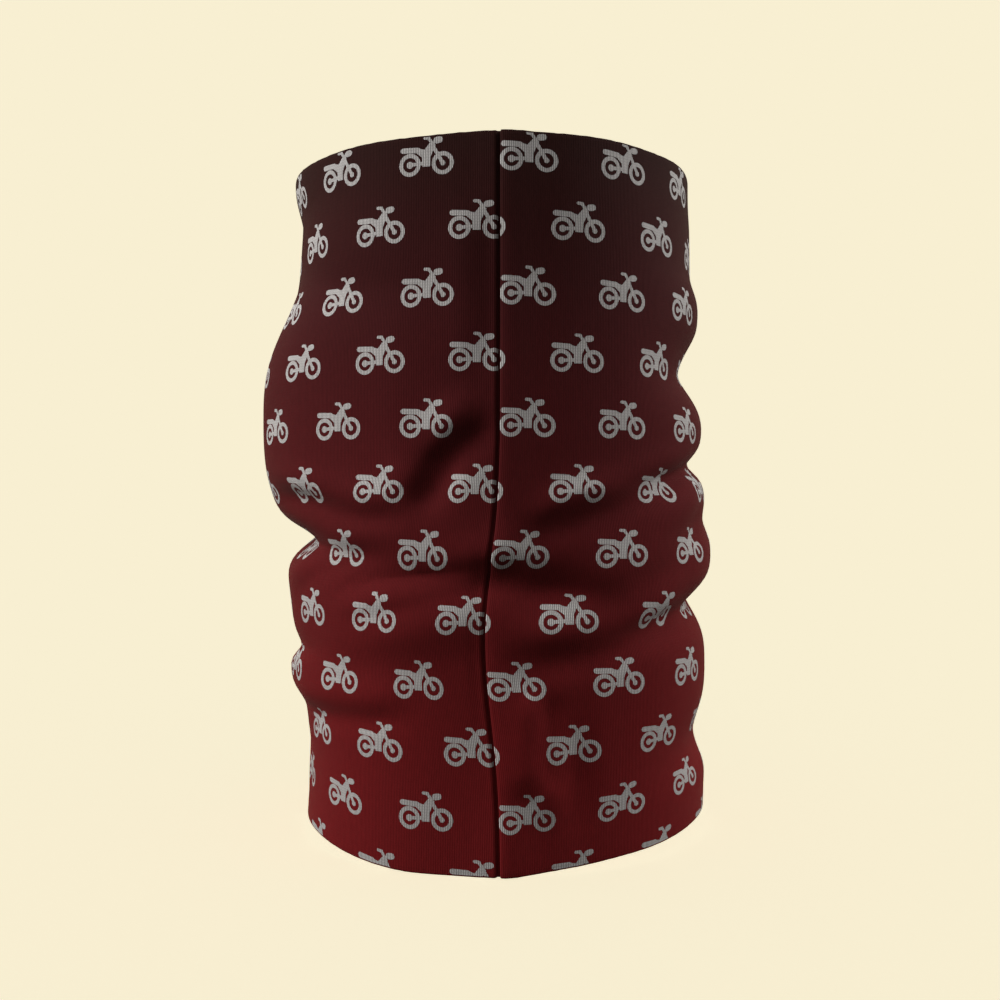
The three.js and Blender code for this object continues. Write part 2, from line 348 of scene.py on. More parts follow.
class Surface:
    """The outer face as a smooth sheet through a grid of points, closed round its girth, open at the hems."""

    def __init__(self, points):
        self.points = points
        self.columns = points.shape[0]
        self.rows = points.shape[1] - 1

    def at(self, girth, z):
        girth, z = np.broadcast_arrays(np.asarray(girth, float), np.asarray(z, float))
        u = girth / GIRTH * self.columns
        v = np.clip(z / HEIGHT * self.rows, -0.5, self.rows + 0.5)
        i = np.floor(u).astype(int)
        j = np.clip(np.floor(v).astype(int), 0, self.rows - 1)
        across, up = spline_shares(u - i), spline_shares(v - j)
        total = 0
        for a in range(4):
            column = (i + a - 1) % self.columns
            for b in range(4):
                # past a hem the sheet carries straight on
                row = j + b - 1
                hem = np.clip(row, 0, self.rows)
                back = np.where(row < 0, 1, np.where(row > self.rows, -1, 0))
                spot = self.points[column, hem]
                spot = spot + (spot - self.points[column, hem + back]) * np.abs(back)[..., None]
                total = total + spot * (across[a] * up[b])[..., None]
        return total

    def normal(self, girth, z):
        along = self.at(girth + NORMAL_STEP, z) - self.at(girth - NORMAL_STEP, z)
        upward = self.at(girth, z + NORMAL_STEP) - self.at(girth, z - NORMAL_STEP)
        n = np.cross(along, upward)
        return n / np.linalg.norm(n, axis=-1, keepdims=True)

    def place(self, girth, depth, z):
        """A place that deep: square to the face through the cloth's thickness, then level to the axis."""
        girth, depth, z = np.broadcast_arrays(*(np.asarray(x, float) for x in (girth, depth, z)))
        spot = self.at(girth, z)
        centre = np.stack([np.full_like(z, AXIS[0]), np.full_like(z, AXIS[1]), spot[..., 2]], axis=-1)
        level = (centre - spot) / np.linalg.norm(centre - spot, axis=-1, keepdims=True)
        skin = np.minimum(depth, CLOTH)[..., None]
        return spot - self.normal(girth, z) * skin + level * (depth[..., None] - skin)


# The settling of the cloth, which starts slack and is then bunched into its folds.
SIM_COLUMNS = 168
SIM_ROWS = 96
SPARE_EVERYWHERE = 0.004  # spare length, as a share of the cloth's own
SPARE_BUNCHED = 0.025  # and this much more where it is bunched most
BUNCHED_AT = 115
BUNCHED_HEIGHT = 45
SNUG = 1.008  # the slack cloth's girth as a share of the folded one's
HOLD = 0.15  # how firmly the cloth is held to its folds, where 1 is as firmly as at the hems
FRONT_HOLD = 0.4
SEAM_HOLD = 0.7
HEM_HOLD_HEIGHT = 20  # of the cloth held by a hem
SEAM_HOLD_FADE = (0.05, 0.2)  # radians from the seam over which this hold fades
FRONT_HOLD_FADE = (0.9, 1.7)
HOLD_STEPS = 20  # levels of hold between 0 and 1
BENDING = 4  # stiffness
FRAMES = 20
SOFTEN = 3  # times that the cloth's shift from its folds is smoothed
MOST_MOVED = 7  # and how long it may be


def slack_tube(grid, height):
    """The cloth with its spare length, as an object with a shape key that bunches it into the grid."""
    columns, rows = grid.shape[:2]
    folded = grid.reshape(-1, 3) * MM
    faces = []
    for i in range(columns):
        m = (i + 1) % columns
        faces += [(i * rows + j, m * rows + j, m * rows + j + 1, i * rows + j + 1) for j in range(rows - 1)]
    level = np.linspace(0, HEIGHT, rows)
    spare = SPARE_EVERYWHERE + SPARE_BUNCHED * np.exp(-(((level - BUNCHED_AT) / BUNCHED_HEIGHT) ** 2))
    rise = np.concatenate([[0], np.cumsum((spare[1:] + spare[:-1]) / 2 * np.diff(level))])
    axis = np.array(AXIS) * MM
    slack = folded.copy()
    slack[:, :2] = axis + (slack[:, :2] - axis) * SNUG
    slack[:, 2] += np.interp(height, level, rise - rise[-1] / 2) * MM
    mesh = bpy.data.meshes.new("settling")
    mesh.from_pydata([tuple(v) for v in slack], [], faces)
    tube = bpy.data.objects.new("settling", mesh)
    bpy.context.scene.collection.objects.link(tube)
    tube.shape_key_add(name="slack")
    tube.shape_key_add(name="bunched").data.foreach_set("co", folded.ravel())
    return tube


def hold_tube(tube, height, angle):
    """How firmly each point is held: at the hems most, then beside the seam and at the front."""
    aside = np.abs(from_seam(angle))
    near_hem = 1 - ease(np.minimum(height, HEIGHT - height), 0, HEM_HOLD_HEIGHT)
    near_seam = SEAM_HOLD * (1 - ease(aside, *SEAM_HOLD_FADE))
    in_front = FRONT_HOLD * (1 - ease(aside, *FRONT_HOLD_FADE))
    hold = np.maximum(np.maximum(HOLD, in_front), np.maximum(near_hem, near_seam))
    levels = np.round(hold * HOLD_STEPS) / HOLD_STEPS
    group = tube.vertex_groups.new(name="held")
    for level in np.unique(levels):
        group.add(np.where(levels == level)[0].tolist(), float(level), "REPLACE")


def make_cloth(tube):
    """Adds the simulation: a stretchy cloth without weight, which the hems and folds hold up."""
    cloth = tube.modifiers.new("cloth", "CLOTH")
    rules = cloth.settings
    rules.quality = 5
    rules.mass = 0.12
    rules.tension_stiffness = 12
    rules.compression_stiffness = 12
    rules.shear_stiffness = 4
    rules.bending_stiffness = BENDING
    rules.tension_damping = 8
    rules.compression_damping = 8
    rules.shear_damping = 8
    rules.air_damping = 4
    rules.vertex_group_mass = "held"
    rules.pin_stiffness = 0.6
    rules.effector_weights.gravity = 0.0
    cloth.collision_settings.use_collision = False
    cloth.collision_settings.use_self_collision = False
    cloth.point_cache.frame_start = 1
    cloth.point_cache.frame_end = FRAMES


def bunch(tube):
    """Runs the simulation, removes the tube and returns where its points came to rest."""
    bunched = tube.data.shape_keys.key_blocks["bunched"]
    for value, step in ((0, 1), (1, FRAMES // 2)):
        bunched.value = value
        bunched.keyframe_insert("value", frame=step)
    for step in range(1, FRAMES + 1):
        bpy.context.scene.frame_set(step)
    settled = np.empty(len(tube.data.vertices) * 3, dtype=np.float32)
    evaluated = tube.evaluated_get(bpy.context.evaluated_depsgraph_get())
    evaluated.data.vertices.foreach_get("co", settled)
    bpy.context.scene.frame_set(1)
    bpy.data.objects.remove(tube)
    return settled.astype(float) / MM


def settle(grid):
    """The cloth is a little longer than the space it is bunched into, so a simulation lets it buckle."""
    columns, rows = grid.shape[:2]
    height = np.tile(np.linspace(0, HEIGHT, rows), columns)
    angle = np.repeat(np.linspace(0, 2 * math.pi, columns, endpoint=False), rows)
    tube = slack_tube(grid, height)
    hold_tube(tube, height, angle)
    make_cloth(tube)
    shift = bunch(tube).reshape(grid.shape) - grid
    for _ in range(SOFTEN):
        shift = (np.roll(shift, 1, axis=0) + 2 * shift + np.roll(shift, -1, axis=0)) / 4
        shift[:, 1:-1] = (shift[:, :-2] + 2 * shift[:, 1:-1] + shift[:, 2:]) / 4
    length = np.linalg.norm(shift, axis=-1, keepdims=True)
    return grid + shift * np.minimum(1, MOST_MOVED / np.maximum(length, 1e-6))


def make_surface():
    """The outer face: the folds, settled, with the creases laid over them."""
    girth = np.linspace(0, GIRTH, SIM_COLUMNS, endpoint=False)[:, None]
    z = np.linspace(0, HEIGHT, SIM_ROWS + 1)[None, :]
    grid = worn(girth, z)
    grid = settle(grid)
    folded = Surface(grid)
    girth = np.linspace(0, GIRTH, 2 * SIM_COLUMNS, endpoint=False)[:, None]
    z = np.linspace(0, HEIGHT, 2 * SIM_ROWS + 1)[None, :]
    cloth = folded.at(girth, z)
    return Surface(cloth + folded.normal(girth, z) * crease_height(cloth)[..., None])


surface = make_surface()

# ---------------------------------------------------------------- helpers for meshes and materials


def mesh_object(name, verts, faces, uvs):
    """A smooth mesh from places in millimetres, with each one's place on the flat cloth or along a thread."""
    mesh = bpy.data.meshes.new(name)
    mesh.from_pydata([tuple(v) for v in np.asarray(verts) * MM], [], faces)
    layer = mesh.uv_layers.new(name="cloth")
    loops = np.empty(len(mesh.loops), dtype=np.int32)
    mesh.loops.foreach_get("vertex_index", loops)
    layer.data.foreach_set("uv", (np.asarray(uvs)[loops] * MM).ravel())
    mesh.shade_smooth()
    obj = bpy.data.objects.new(name, mesh)
    bpy.context.scene.collection.objects.link(obj)
    return obj


class Nodes:
    """A few words for building a material's node tree."""

    def __init__(self, name):
        self.material = bpy.data.materials.new(name)
        self.material.use_nodes = True
        self.tree = self.material.node_tree
        self.shader = self.tree.nodes["Principled BSDF"]

    def set(self, **values):
        for key, value in values.items():
            self.shader.inputs[key.replace("_", " ")].default_value = value

    def link(self, source, target):
        self.tree.links.new(source, target)

    def feed(self, socket, value):
        if isinstance(value, (int, float, tuple)):
            socket.default_value = value
        else:
            self.link(value, socket)

    def math(self, operation, a, b=0.0, c=0.0):
        node = self.tree.nodes.new("ShaderNodeMath")
        node.operation = operation
        for socket, value in zip(node.inputs, (a, b, c)):
            self.feed(socket, value)
        return node.outputs[0]

    def fit(self, value, scale, start):
        """The value times scale, plus start."""
        return self.math("MULTIPLY_ADD", value, scale, start)

    def sine(self, turns):
        """The sine of a number of whole turns."""
        return self.math("SINE", self.math("MULTIPLY", turns, 2 * math.pi))

    def wave(self, turns):
        """The same, but from 0 to 1."""
        return self.fit(self.sine(turns), 0.5, 0.5)

    def cloth_uv(self):
        """The place on the flat cloth or along a thread, in metres: both ways together, then each alone."""
        node = self.tree.nodes.new("ShaderNodeUVMap")
        node.uv_map = "cloth"
        apart = self.tree.nodes.new("ShaderNodeSeparateXYZ")
        self.link(node.outputs["UV"], apart.inputs[0])
        return node.outputs["UV"], apart.outputs["X"], apart.outputs["Y"]

    def stretched(self, vector, scales):
        mapping = self.tree.nodes.new("ShaderNodeMapping")
        mapping.inputs["Scale"].default_value = scales
        self.link(vector, mapping.inputs["Vector"])
        return mapping.outputs["Vector"]

    def noise(self, vector, scale, detail):
        node = self.tree.nodes.new("ShaderNodeTexNoise")
        node.inputs["Scale"].default_value = scale
        node.inputs["Detail"].default_value = detail
        self.link(vector, node.inputs["Vector"])
        return node.outputs["Fac"]

    def position(self):
        return self.tree.nodes.new("ShaderNodeTexCoord").outputs["Object"]

    def mix(self, factor, a, b, kind="MIX"):
        node = self.tree.nodes.new("ShaderNodeMix")
        node.data_type = "RGBA"
        node.blend_type = kind
        self.feed(node.inputs[0], factor)
        self.feed(node.inputs[6], a)
        self.feed(node.inputs[7], b)
        return node.outputs[2]

    def ramp(self, value, stops):
        node = self.tree.nodes.new("ShaderNodeValToRGB")
        self.link(value, node.inputs[0])
        elements = node.color_ramp.elements
        while len(elements) < len(stops):
            elements.new(0.5)
        for element, (place, colour) in zip(elements, stops):
            element.position = place
            element.color = colour
        return node.outputs[0]

    def bump(self, height, distance, strength, under=None):
        node = self.tree.nodes.new("ShaderNodeBump")
        node.inputs["Strength"].default_value = strength
        node.inputs["Distance"].default_value = distance
        self.link(height, node.inputs["Height"])
        if under:
            self.link(under, node.inputs["Normal"])
        return node.outputs[0]


WALE = 1.25 * MM  # width of one column of knit stitches
COURSE = 1.0 * MM  # height of one row
V_SLANT = 1.5  # how steeply the legs of a V climb
BAR_ARC = 0.16  # how far the bars of the reverse curve
THREAD_TWIST = 0.45 * MM  # length of one turn of the sewing thread's plies
THREAD_SLANT = 0.7
WEFT_PITCH = 0.28 * MM  # of the label's ribbon


def knit_height(n, u, v, back=False):
    """Height of the jersey's yarn, 0 to 1. The face is columns of V's; the back is rows of bars."""
    column = n.math("DIVIDE", u, WALE)
    course = n.math("DIVIDE", v, COURSE)
    if back:
        return n.wave(n.fit(n.sine(column), BAR_ARC, course))
    across = n.math("ABSOLUTE", n.math("SUBTRACT", n.math("FRACT", column), 0.5))
    strand = n.wave(n.fit(across, V_SLANT, course))
    return n.math("MULTIPLY", n.sine(across), n.fit(strand, 0.18, 0.82))


def lay_knit(n, uv, height, colour, tone_and_painted_shade, fuzz_scales, depth, strength):
    """Gives a material its colour, darkened by its uneven tone and by painted shade between the yarns, and
    the relief of its yarn and fuzz.
    """
    grey = n.tree.nodes.new("ShaderNodeCombineColor")
    for socket in grey.inputs[:3]:
        n.link(tone_and_painted_shade, socket)
    n.link(n.mix(1.0, colour, grey.outputs[0], "MULTIPLY"), n.shader.inputs["Base Color"])
    fuzz = n.bump(n.noise(n.stretched(uv, fuzz_scales), 1, 2), 0.05 * MM, 0.6)
    n.link(n.bump(height, depth, strength, under=fuzz), n.shader.inputs["Normal"])


def linear(colour):
    """Linear red, green, blue and a full alpha, from an sRGB colour of three bytes."""
    return (*(((c / 255 + 0.055) / 1.055) ** 2.4 if c > 10 else c / 255 / 12.92 for c in colour), 1)


# The dyed ground, from the lower hem to the upper.
OMBRE = [
    (0.0, linear((92, 18, 20))),
    (0.2, linear((85, 16, 18))),
    (0.45, linear((69, 14, 16))),
    (0.62, linear((60, 13, 15))),
    (0.8, linear((47, 12, 13))),
    (1.0, linear((32, 12, 10))),
]
MOTIF_DARK = linear((94, 90, 88))
MOTIF_LIGHT = linear((172, 168, 165))

# How it ghosts through to the white reverse.
GHOST = [
    (0.0, (0.62, 0.47, 0.47, 1)),
    (1.0, (0.56, 0.48, 0.48, 1)),
]


def printed_jersey(name, motif=False):
    n = Nodes(name)
    uv, u, v = n.cloth_uv()
    height = knit_height(n, u, v)
    if motif:
        # the grey is lighter on the yarns and darker between them: painted shade
        colour = n.mix(n.math("MULTIPLY", height, 0.9), MOTIF_DARK, MOTIF_LIGHT)
    else:
        colour = n.ramp(n.math("DIVIDE", v, HEIGHT * MM), OMBRE)

    # darker in patches and from yarn to yarn, and painted shade between the yarns
    patch = n.noise(n.position(), 18, 3)
    yarn = n.noise(n.stretched(uv, (900, 260, 1)), 1, 3)
    tone_and_painted_shade = n.fit(n.math("SUBTRACT", patch, 0.5), 0.16, 1.0)
    tone_and_painted_shade = n.fit(n.math("SUBTRACT", yarn, 0.5), 0.34, tone_and_painted_shade)
    # painted shade: darker down between the yarns
    tone_and_painted_shade = n.math("MULTIPLY", tone_and_painted_shade, n.fit(height, 0.5, 0.62))
    lay_knit(n, uv, height, colour, tone_and_painted_shade, (2600, 1400, 1), 0.13 * MM, 0.7)
    n.link(n.fit(height, -0.12, 0.86), n.shader.inputs["Roughness"])
    n.set(Sheen_Weight=0.01, Sheen_Roughness=0.4, Specular_IOR_Level=0.03)
    return n.material


def white_reverse():
    n = Nodes("jersey_reverse")
    uv, u, v = n.cloth_uv()
    height = knit_height(n, u, v, back=True)
    colour = n.ramp(n.math("DIVIDE", v, HEIGHT * MM), GHOST)
    patch = n.noise(n.position(), 22, 3)
    # darker in patches, and painted shade between the yarns
    tone_and_painted_shade = n.fit(height, 0.22, n.fit(patch, 0.12, 0.74))
    lay_knit(n, uv, height, colour, tone_and_painted_shade, (2400, 1500, 1), 0.14 * MM, 0.9)
    n.set(Roughness=0.9, Sheen_Weight=0.15, Specular_IOR_Level=0.25)
    return n.material


def sewing_thread():
    n = Nodes("overlock_thread")
    _, along, round_it = n.cloth_uv()
    twist = n.sine(n.math("DIVIDE", n.fit(along, THREAD_SLANT, round_it), THREAD_TWIST))
    soft = n.noise(n.position(), 900, 2)
    n.link(n.mix(soft, linear((52, 22, 24)), linear((30, 12, 13))), n.shader.inputs["Base Color"])
    n.link(n.fit(soft, 0.2, 0.45), n.shader.inputs["Roughness"])
    n.link(n.bump(twist, 0.05 * MM, 0.7), n.shader.inputs["Normal"])
    n.set(Sheen_Weight=0.1)
    return n.material


def satin_ribbon():
    n = Nodes("label_satin")
    uv, u, _ = n.cloth_uv()
    weft = n.sine(n.math("DIVIDE", u, WEFT_PITCH))
    warp = n.noise(n.stretched(uv, (300, 5200, 1)), 1, 2)
    n.link(n.mix(warp, (0.74, 0.73, 0.7, 1), (0.86, 0.85, 0.82, 1)), n.shader.inputs["Base Color"])
    n.link(n.fit(warp, 0.25, 0.3), n.shader.inputs["Roughness"])
    n.link(n.bump(weft, 0.03 * MM, 0.5), n.shader.inputs["Normal"])
    n.set(Anisotropic=0.4, Sheen_Weight=0.05)
    return n.material


# ---------------------------------------------------------------- the panel

# Where the left-hand side dips under the seam's edge: slowly at first, then steeply.
DIP_START = -7.5
DIP_STEEP = -1.8
DIP_END = -0.55
DIP_FIRST = 0.2  # share of the dip that is done before it is steep
DIP_STEPS = 8  # facets in each of those stretches
EDGE_RADIUS = (RIGHT_TURN_DEPTH - FACE_DEPTH) / 2
EDGE_START = 1  # from the seam to where the cloth turns over
EDGE_STEPS = 10  # facets round that turn
TURNING_STEPS = 6  # facets across each turning
TURNING_START = 0.5  # from the seam to the left-hand turning
SEAM_RISE = 0.2  # the cloth over the turnings stands out
SEAM_RISE_FADE = (2, 10)  # from the seam, over which that fades

# The facets keep step with the print, so that most of its motorcycles are cut alike.
ROWS = 124
ROW_PITCH = HEIGHT / ROWS
MOTIF_ROWS = 12
MOTIF_COLUMNS = 14
MOTIF_PITCH = GIRTH / MOTIF_COLUMNS
MOTIF_FIRST = 10.0  # from the seam to the middle of the first motorcycle
MOTIF_TOP = 249.0  # height of the middle of the top row
MOTIF_RISE = 11 * ROW_PITCH  # from one row to the next, which is set over by half a column
COLUMN_PITCH = MOTIF_PITCH / 18
FIRST_COLUMN = MOTIF_FIRST - 4 * COLUMN_PITCH
CLOSEST_COLUMN = 0.3  # the last one stays this far from the start of the dip

# A cut edge's bevel, as its side of the cloth (1 outside, -1 reverse) and its distance out past the hem.
BEVEL = [(0.8, -0.12), (0.3, 0.04), (-0.3, 0.04), (-0.8, -0.12)]
BEVEL_START = 0.5  # from the hem to the last row before the bevel
WOBBLE_HEIGHT = 6  # of the cloth that a hem's wobble moves


def panel_line():
    """The panel's middle line as (girth, depth), and the index at which it comes out over the seam's edge."""
    line = [(g, RIGHT_TURN_DEPTH) for g in np.linspace(ALLOWANCE, EDGE_START, TURNING_STEPS, endpoint=False)]
    start = len(line) + EDGE_STEPS // 2
    middle = (RIGHT_TURN_DEPTH + FACE_DEPTH) / 2
    for a in np.linspace(0, math.pi, EDGE_STEPS + 1):
        line.append((EDGE_START - EDGE_RADIUS * math.sin(a), middle + EDGE_RADIUS * math.cos(a)))
    for g in np.arange(FIRST_COLUMN, GIRTH + DIP_START - CLOSEST_COLUMN, COLUMN_PITCH):
        raised = SEAM_RISE * (1 - ease(g, *SEAM_RISE_FADE))
        line.append((g, FACE_DEPTH - raised))
    dip = LEFT_TURN_DEPTH - FACE_DEPTH
    slow = np.linspace(DIP_START, DIP_STEEP, DIP_STEPS, endpoint=False)
    for g in [*slow, *np.linspace(DIP_STEEP, DIP_END, DIP_STEPS)]:
        fall = DIP_FIRST * ease(g, DIP_START, DIP_STEEP) + (1 - DIP_FIRST) * ease(g, DIP_STEEP, DIP_END)
        line.append((GIRTH + g, FACE_DEPTH + dip * fall))
    line += [(GIRTH + g, LEFT_TURN_DEPTH) for g in np.linspace(TURNING_START, ALLOWANCE, TURNING_STEPS)]
    return np.array(line), start


def hem_wobble(girth, phase):
    """How far the cut edge is off straight."""
    a = girth / RADIUS
    slow = 0.22 * np.sin(5 * a + 1.3 + phase) + 0.14 * np.sin(11 * a + 0.4 + 2 * phase)
    fine = 0.05 * np.sin(67 * a + phase) + 0.04 * np.sin(113 * a + 2.0)
    return slow + fine


def panel_ring(rows):
    """The sides and heights round the panel: up its outside, over the bevel, down its reverse and under."""
    ring = [(1.0, z) for z in rows[1:-1]]
    ring += [(1.0, HEIGHT - BEVEL_START)]
    ring += [(side, HEIGHT + out) for side, out in BEVEL]
    ring += [(-1.0, HEIGHT - BEVEL_START)]
    ring += [(-1.0, z) for z in rows[-2:0:-1]]
    ring += [(-1.0, BEVEL_START)]
    ring += [(-side, -out) for side, out in BEVEL]
    ring += [(1.0, BEVEL_START)]
    return np.array(ring).T


def make_panel():
    """The panel, and its outside as the print needs it."""
    line, start = panel_line()
    tangent = np.gradient(line, axis=0)
    tangent /= np.linalg.norm(tangent, axis=1, keepdims=True)
    run = np.concatenate([[0], np.cumsum(np.linalg.norm(np.diff(line, axis=0), axis=1))])
    run -= run[start]
    rows = np.linspace(0, HEIGHT, ROWS + 1)
    side, z = panel_ring(rows)
    girth = line[:, :1] + tangent[:, 1:] * side * CLOTH / 2
    depth = line[:, 1:] - tangent[:, :1] * side * CLOTH / 2
    at_top = ease(z, HEIGHT - WOBBLE_HEIGHT, HEIGHT)
    at_foot = (1 - ease(z, 0, WOBBLE_HEIGHT)) / 2
    z = z + hem_wobble(girth, 1) * at_top + hem_wobble(girth, 0) * at_foot
    spots = surface.place(girth, depth, z)
    spots[..., 2] = np.maximum(spots[..., 2], 0.0)

    # on the ring the outside ends at top, and the reverse runs from over to foot
    columns, around = spots.shape[:2]
    top = ROWS - 1
    over = top + len(BEVEL) + 1
    foot = over + ROWS
    printed = {around - 1, *range(top)}  # in triangles, which the print then follows
    reverse = range(over - 1, foot + 1)
    faces, slots = [], []
    for i in range(columns - 1):
        for k in range(around):
            m = (k + 1) % around
            a, b, c, d = i * around + k, (i + 1) * around + k, (i + 1) * around + m, i * around + m
            quad = [(a, b, c), (a, c, d)] if k in printed else [(a, b, c, d)]
            faces += quad
            slots += [int(k in reverse)] * len(quad)

    # both side edges are closed by a strip between outside and reverse, and by their two bevels
    outer = [around - 1, *range(top + 1)]
    inner = range(foot, over - 1, -1)
    caps = [(inner[k], inner[k + 1], outer[k + 1], outer[k]) for k in range(ROWS)]
    caps += [tuple(range(top, over + 1)), tuple(range(foot, around))]
    last = (columns - 1) * around
    faces += caps + [tuple(last + k for k in cap[::-1]) for cap in caps]
    uvs = np.stack([np.broadcast_to(run[:, None], z.shape), z], axis=-1)
    panel = mesh_object("jersey_panel", spots.reshape(-1, 3), faces, uvs.reshape(-1, 2))

    # outside and cut edges are printed, the reverse is white
    panel.data.materials.append(printed_jersey("printed_jersey"))
    panel.data.materials.append(white_reverse())
    slots += [0] * (len(faces) - len(slots))
    panel.data.polygons.foreach_set("material_index", slots)

    # the print lies from the seam's edge right round to where the left side goes under it
    seen = np.arange(start, columns - TURNING_STEPS)
    levels = np.concatenate([[BEVEL_START], rows[1:-1], [HEIGHT - BEVEL_START]])
    return panel, (girth[seen, 0], levels, run[seen], spots[seen][:, outer])


panel, outside = make_panel()

# ---------------------------------------------------------------- the print

INK = 0.035  # thickness of the film of print on the cloth
REACH_X = 10.8  # from a motorcycle's middle, how far the facets' edges cut it
REACH_Y = 9.4
CLOSE = 1e-6  # places nearer than this are the same
CUT_CLOSE = 1e-5  # and in a cut motorcycle
CUT_DIGITS = 5


def disc(x, y, radius, sides):
    turns = [2 * math.pi * i / sides for i in range(sides)]
    return [(x + radius * math.cos(a), y + radius * math.sin(a)) for a in turns]


def bar(x0, y0, x1, y1, width, steps=4):
    """A straight bar with round ends."""
    lean = math.atan2(y1 - y0, x1 - x0)
    ends = []
    for x, y, turn in ((x1, y1, lean - math.pi / 2), (x0, y0, lean + math.pi / 2)):
        for i in range(steps + 1):
            a = turn + math.pi * i / steps
            ends.append((x + width / 2 * math.cos(a), y + width / 2 * math.sin(a)))
    return ends


# The motorcycle, in millimetres from its middle.
WHEEL = 4.0  # radius
TYRE = 1.45  # width
REAR = (-6.0, -2.8)
FRONT = (6.0, -2.8)
TANK_AND_ENGINE = [
    (-3.4, 2.9),
    (-0.6, 2.2),
    (1.2, 4.3),
    (2.7, 4.5),
    (3.4, 3.4),
    (1.5, -0.6),
    (1.4, -3.7),
    (-1.3, -3.7),
    (-1.5, -0.5),
    (-3.6, 1.2),
]
FILLED = [
    bar(-8.6, 2.4, -3.0, 2.1, 1.9),  # seat
    TANK_AND_ENGINE,
    bar(2.2, 4.2, 0.9, 6.0, 1.1),  # handlebar
    bar(-0.6, 6.2, 1.0, 6.1, 1.1),  # grip
    bar(2.2, 3.6, 6.0, -2.8, 1.3),  # fork
    bar(3.6, 5.0, 5.0, 5.2, 2.2),  # headlamp
    bar(-6.0, -2.8, -1.0, -2.5, 1.2),  # swing arm
    disc(*REAR, 1.25, 10),  # hubs
    disc(*FRONT, 0.95, 10),
]


def in_outline(outline, x, y):
    """Which points are inside, by how often a line to their right crosses the outline."""
    odd = np.zeros(len(x), dtype=bool)
    for (x0, y0), (x1, y1) in zip(outline, outline[1:] + outline[:1]):
        if y0 != y1:
            odd ^= ((y0 > y) != (y1 > y)) & (x < (x1 - x0) * (y - y0) / (y1 - y0) + x0)
    return odd


def in_motif(x, y):
    inside = np.zeros(len(x), dtype=bool)
    for cx, cy in (REAR, FRONT):
        reach = np.hypot(x - cx, y - cy)
        inside |= (reach > WHEEL - TYRE) & (reach < WHEEL)
    for outline in FILLED:
        inside |= in_outline(outline, x, y)
    return inside


def motif_outlines():
    rims = [disc(*spot, *rim) for spot in (REAR, FRONT) for rim in ((WHEEL, 24), (WHEEL - TYRE, 20))]
    return rims + FILLED


class Skin:
    """The panel's outer facets, raised by the ink, so that the print lies on them exactly."""

    def __init__(self, girth, rows, run, points):
        self.girth = girth
        self.rows = rows
        self.run = run
        normal = np.cross(np.gradient(points, axis=0), np.gradient(points, axis=1))
        self.face = points + normal / np.linalg.norm(normal, axis=-1, keepdims=True) * INK

    def lines(self, low, high):
        """Where the facets' edges lie in a stretch round the tube, which may cross the seam."""
        every = np.concatenate([self.girth - GIRTH, self.girth, self.girth + GIRTH])
        return every[(every > low) & (every < high)]

    def own(self, girth):
        """The same place, within the panel's own range, and whether there is cloth there."""
        girth = np.where(girth < self.girth[0] - CLOSE, girth + GIRTH, girth)
        girth = np.where(girth > self.girth[0] + GIRTH, girth - GIRTH, girth)
        return girth, girth <= self.girth[-1] + CLOSE

    def at(self, girth, z):
        """Places on the print's face, and their places on the flat cloth."""
        girth, _ = self.own(girth)
        i = np.clip(np.searchsorted(self.girth, girth, side="right") - 1, 0, len(self.girth) - 2)
        j = np.clip(np.searchsorted(self.rows, z, side="right") - 1, 0, len(self.rows) - 2)
        s = np.clip((girth - self.girth[i]) / (self.girth[i + 1] - self.girth[i]), 0, 1)
        t = np.clip((z - self.rows[j]) / (self.rows[j + 1] - self.rows[j]), 0, 1)
        # each facet is two triangles, which meet from its lower left to its upper right corner
        right = np.maximum(s - t, 0)[:, None]
        above = np.maximum(t - s, 0)[:, None]
        both = np.minimum(s, t)[:, None]
        neither = 1 - np.maximum(s, t)[:, None]
        spots = self.face[i, j] * neither + self.face[i + 1, j] * right
        spots += self.face[i, j + 1] * above + self.face[i + 1, j + 1] * both
        run = self.run[i] * (1 - s) + self.run[i + 1] * s
        return spots, np.stack([run, z], axis=-1)


def cut_motif(columns, rows):
    """The motorcycle in flat triangles, cut at the lines given, which are measured from its middle."""
    spots, edges = [], []
    for outline in motif_outlines():
        start = len(spots)
        spots += outline
        edges += [(start + i, start + (i + 1) % len(outline)) for i in range(len(outline))]
    for x in columns:
        edges.append((len(spots), len(spots) + 1))
        spots += [(x, rows[0]), (x, rows[-1])]
    for y in rows:
        edges.append((len(spots), len(spots) + 1))
        spots += [(-REACH_X, y), (REACH_X, y)]
    for x, right in zip(columns, columns[1:]):
        for y, top in zip(rows, rows[1:]):
            edges.append((len(spots), len(spots) + 1))
            spots += [(x, y), (right, top)]
    cut = delaunay_2d_cdt([Vector(s) for s in spots], edges, [], 0, CUT_CLOSE)
    flat = np.array([tuple(v) for v in cut[0]])
    triangles = np.array(cut[2])
    a, b, c = (flat[triangles[:, i]] for i in range(3))
    clockwise = np.cross(b - a, c - a) < 0
    triangles[clockwise] = triangles[clockwise][:, [0, 2, 1]]
    x, y = ((a + b + c) / 3).T
    return flat, triangles[in_motif(x, y) & (y > rows[0]) & (y < rows[-1])]


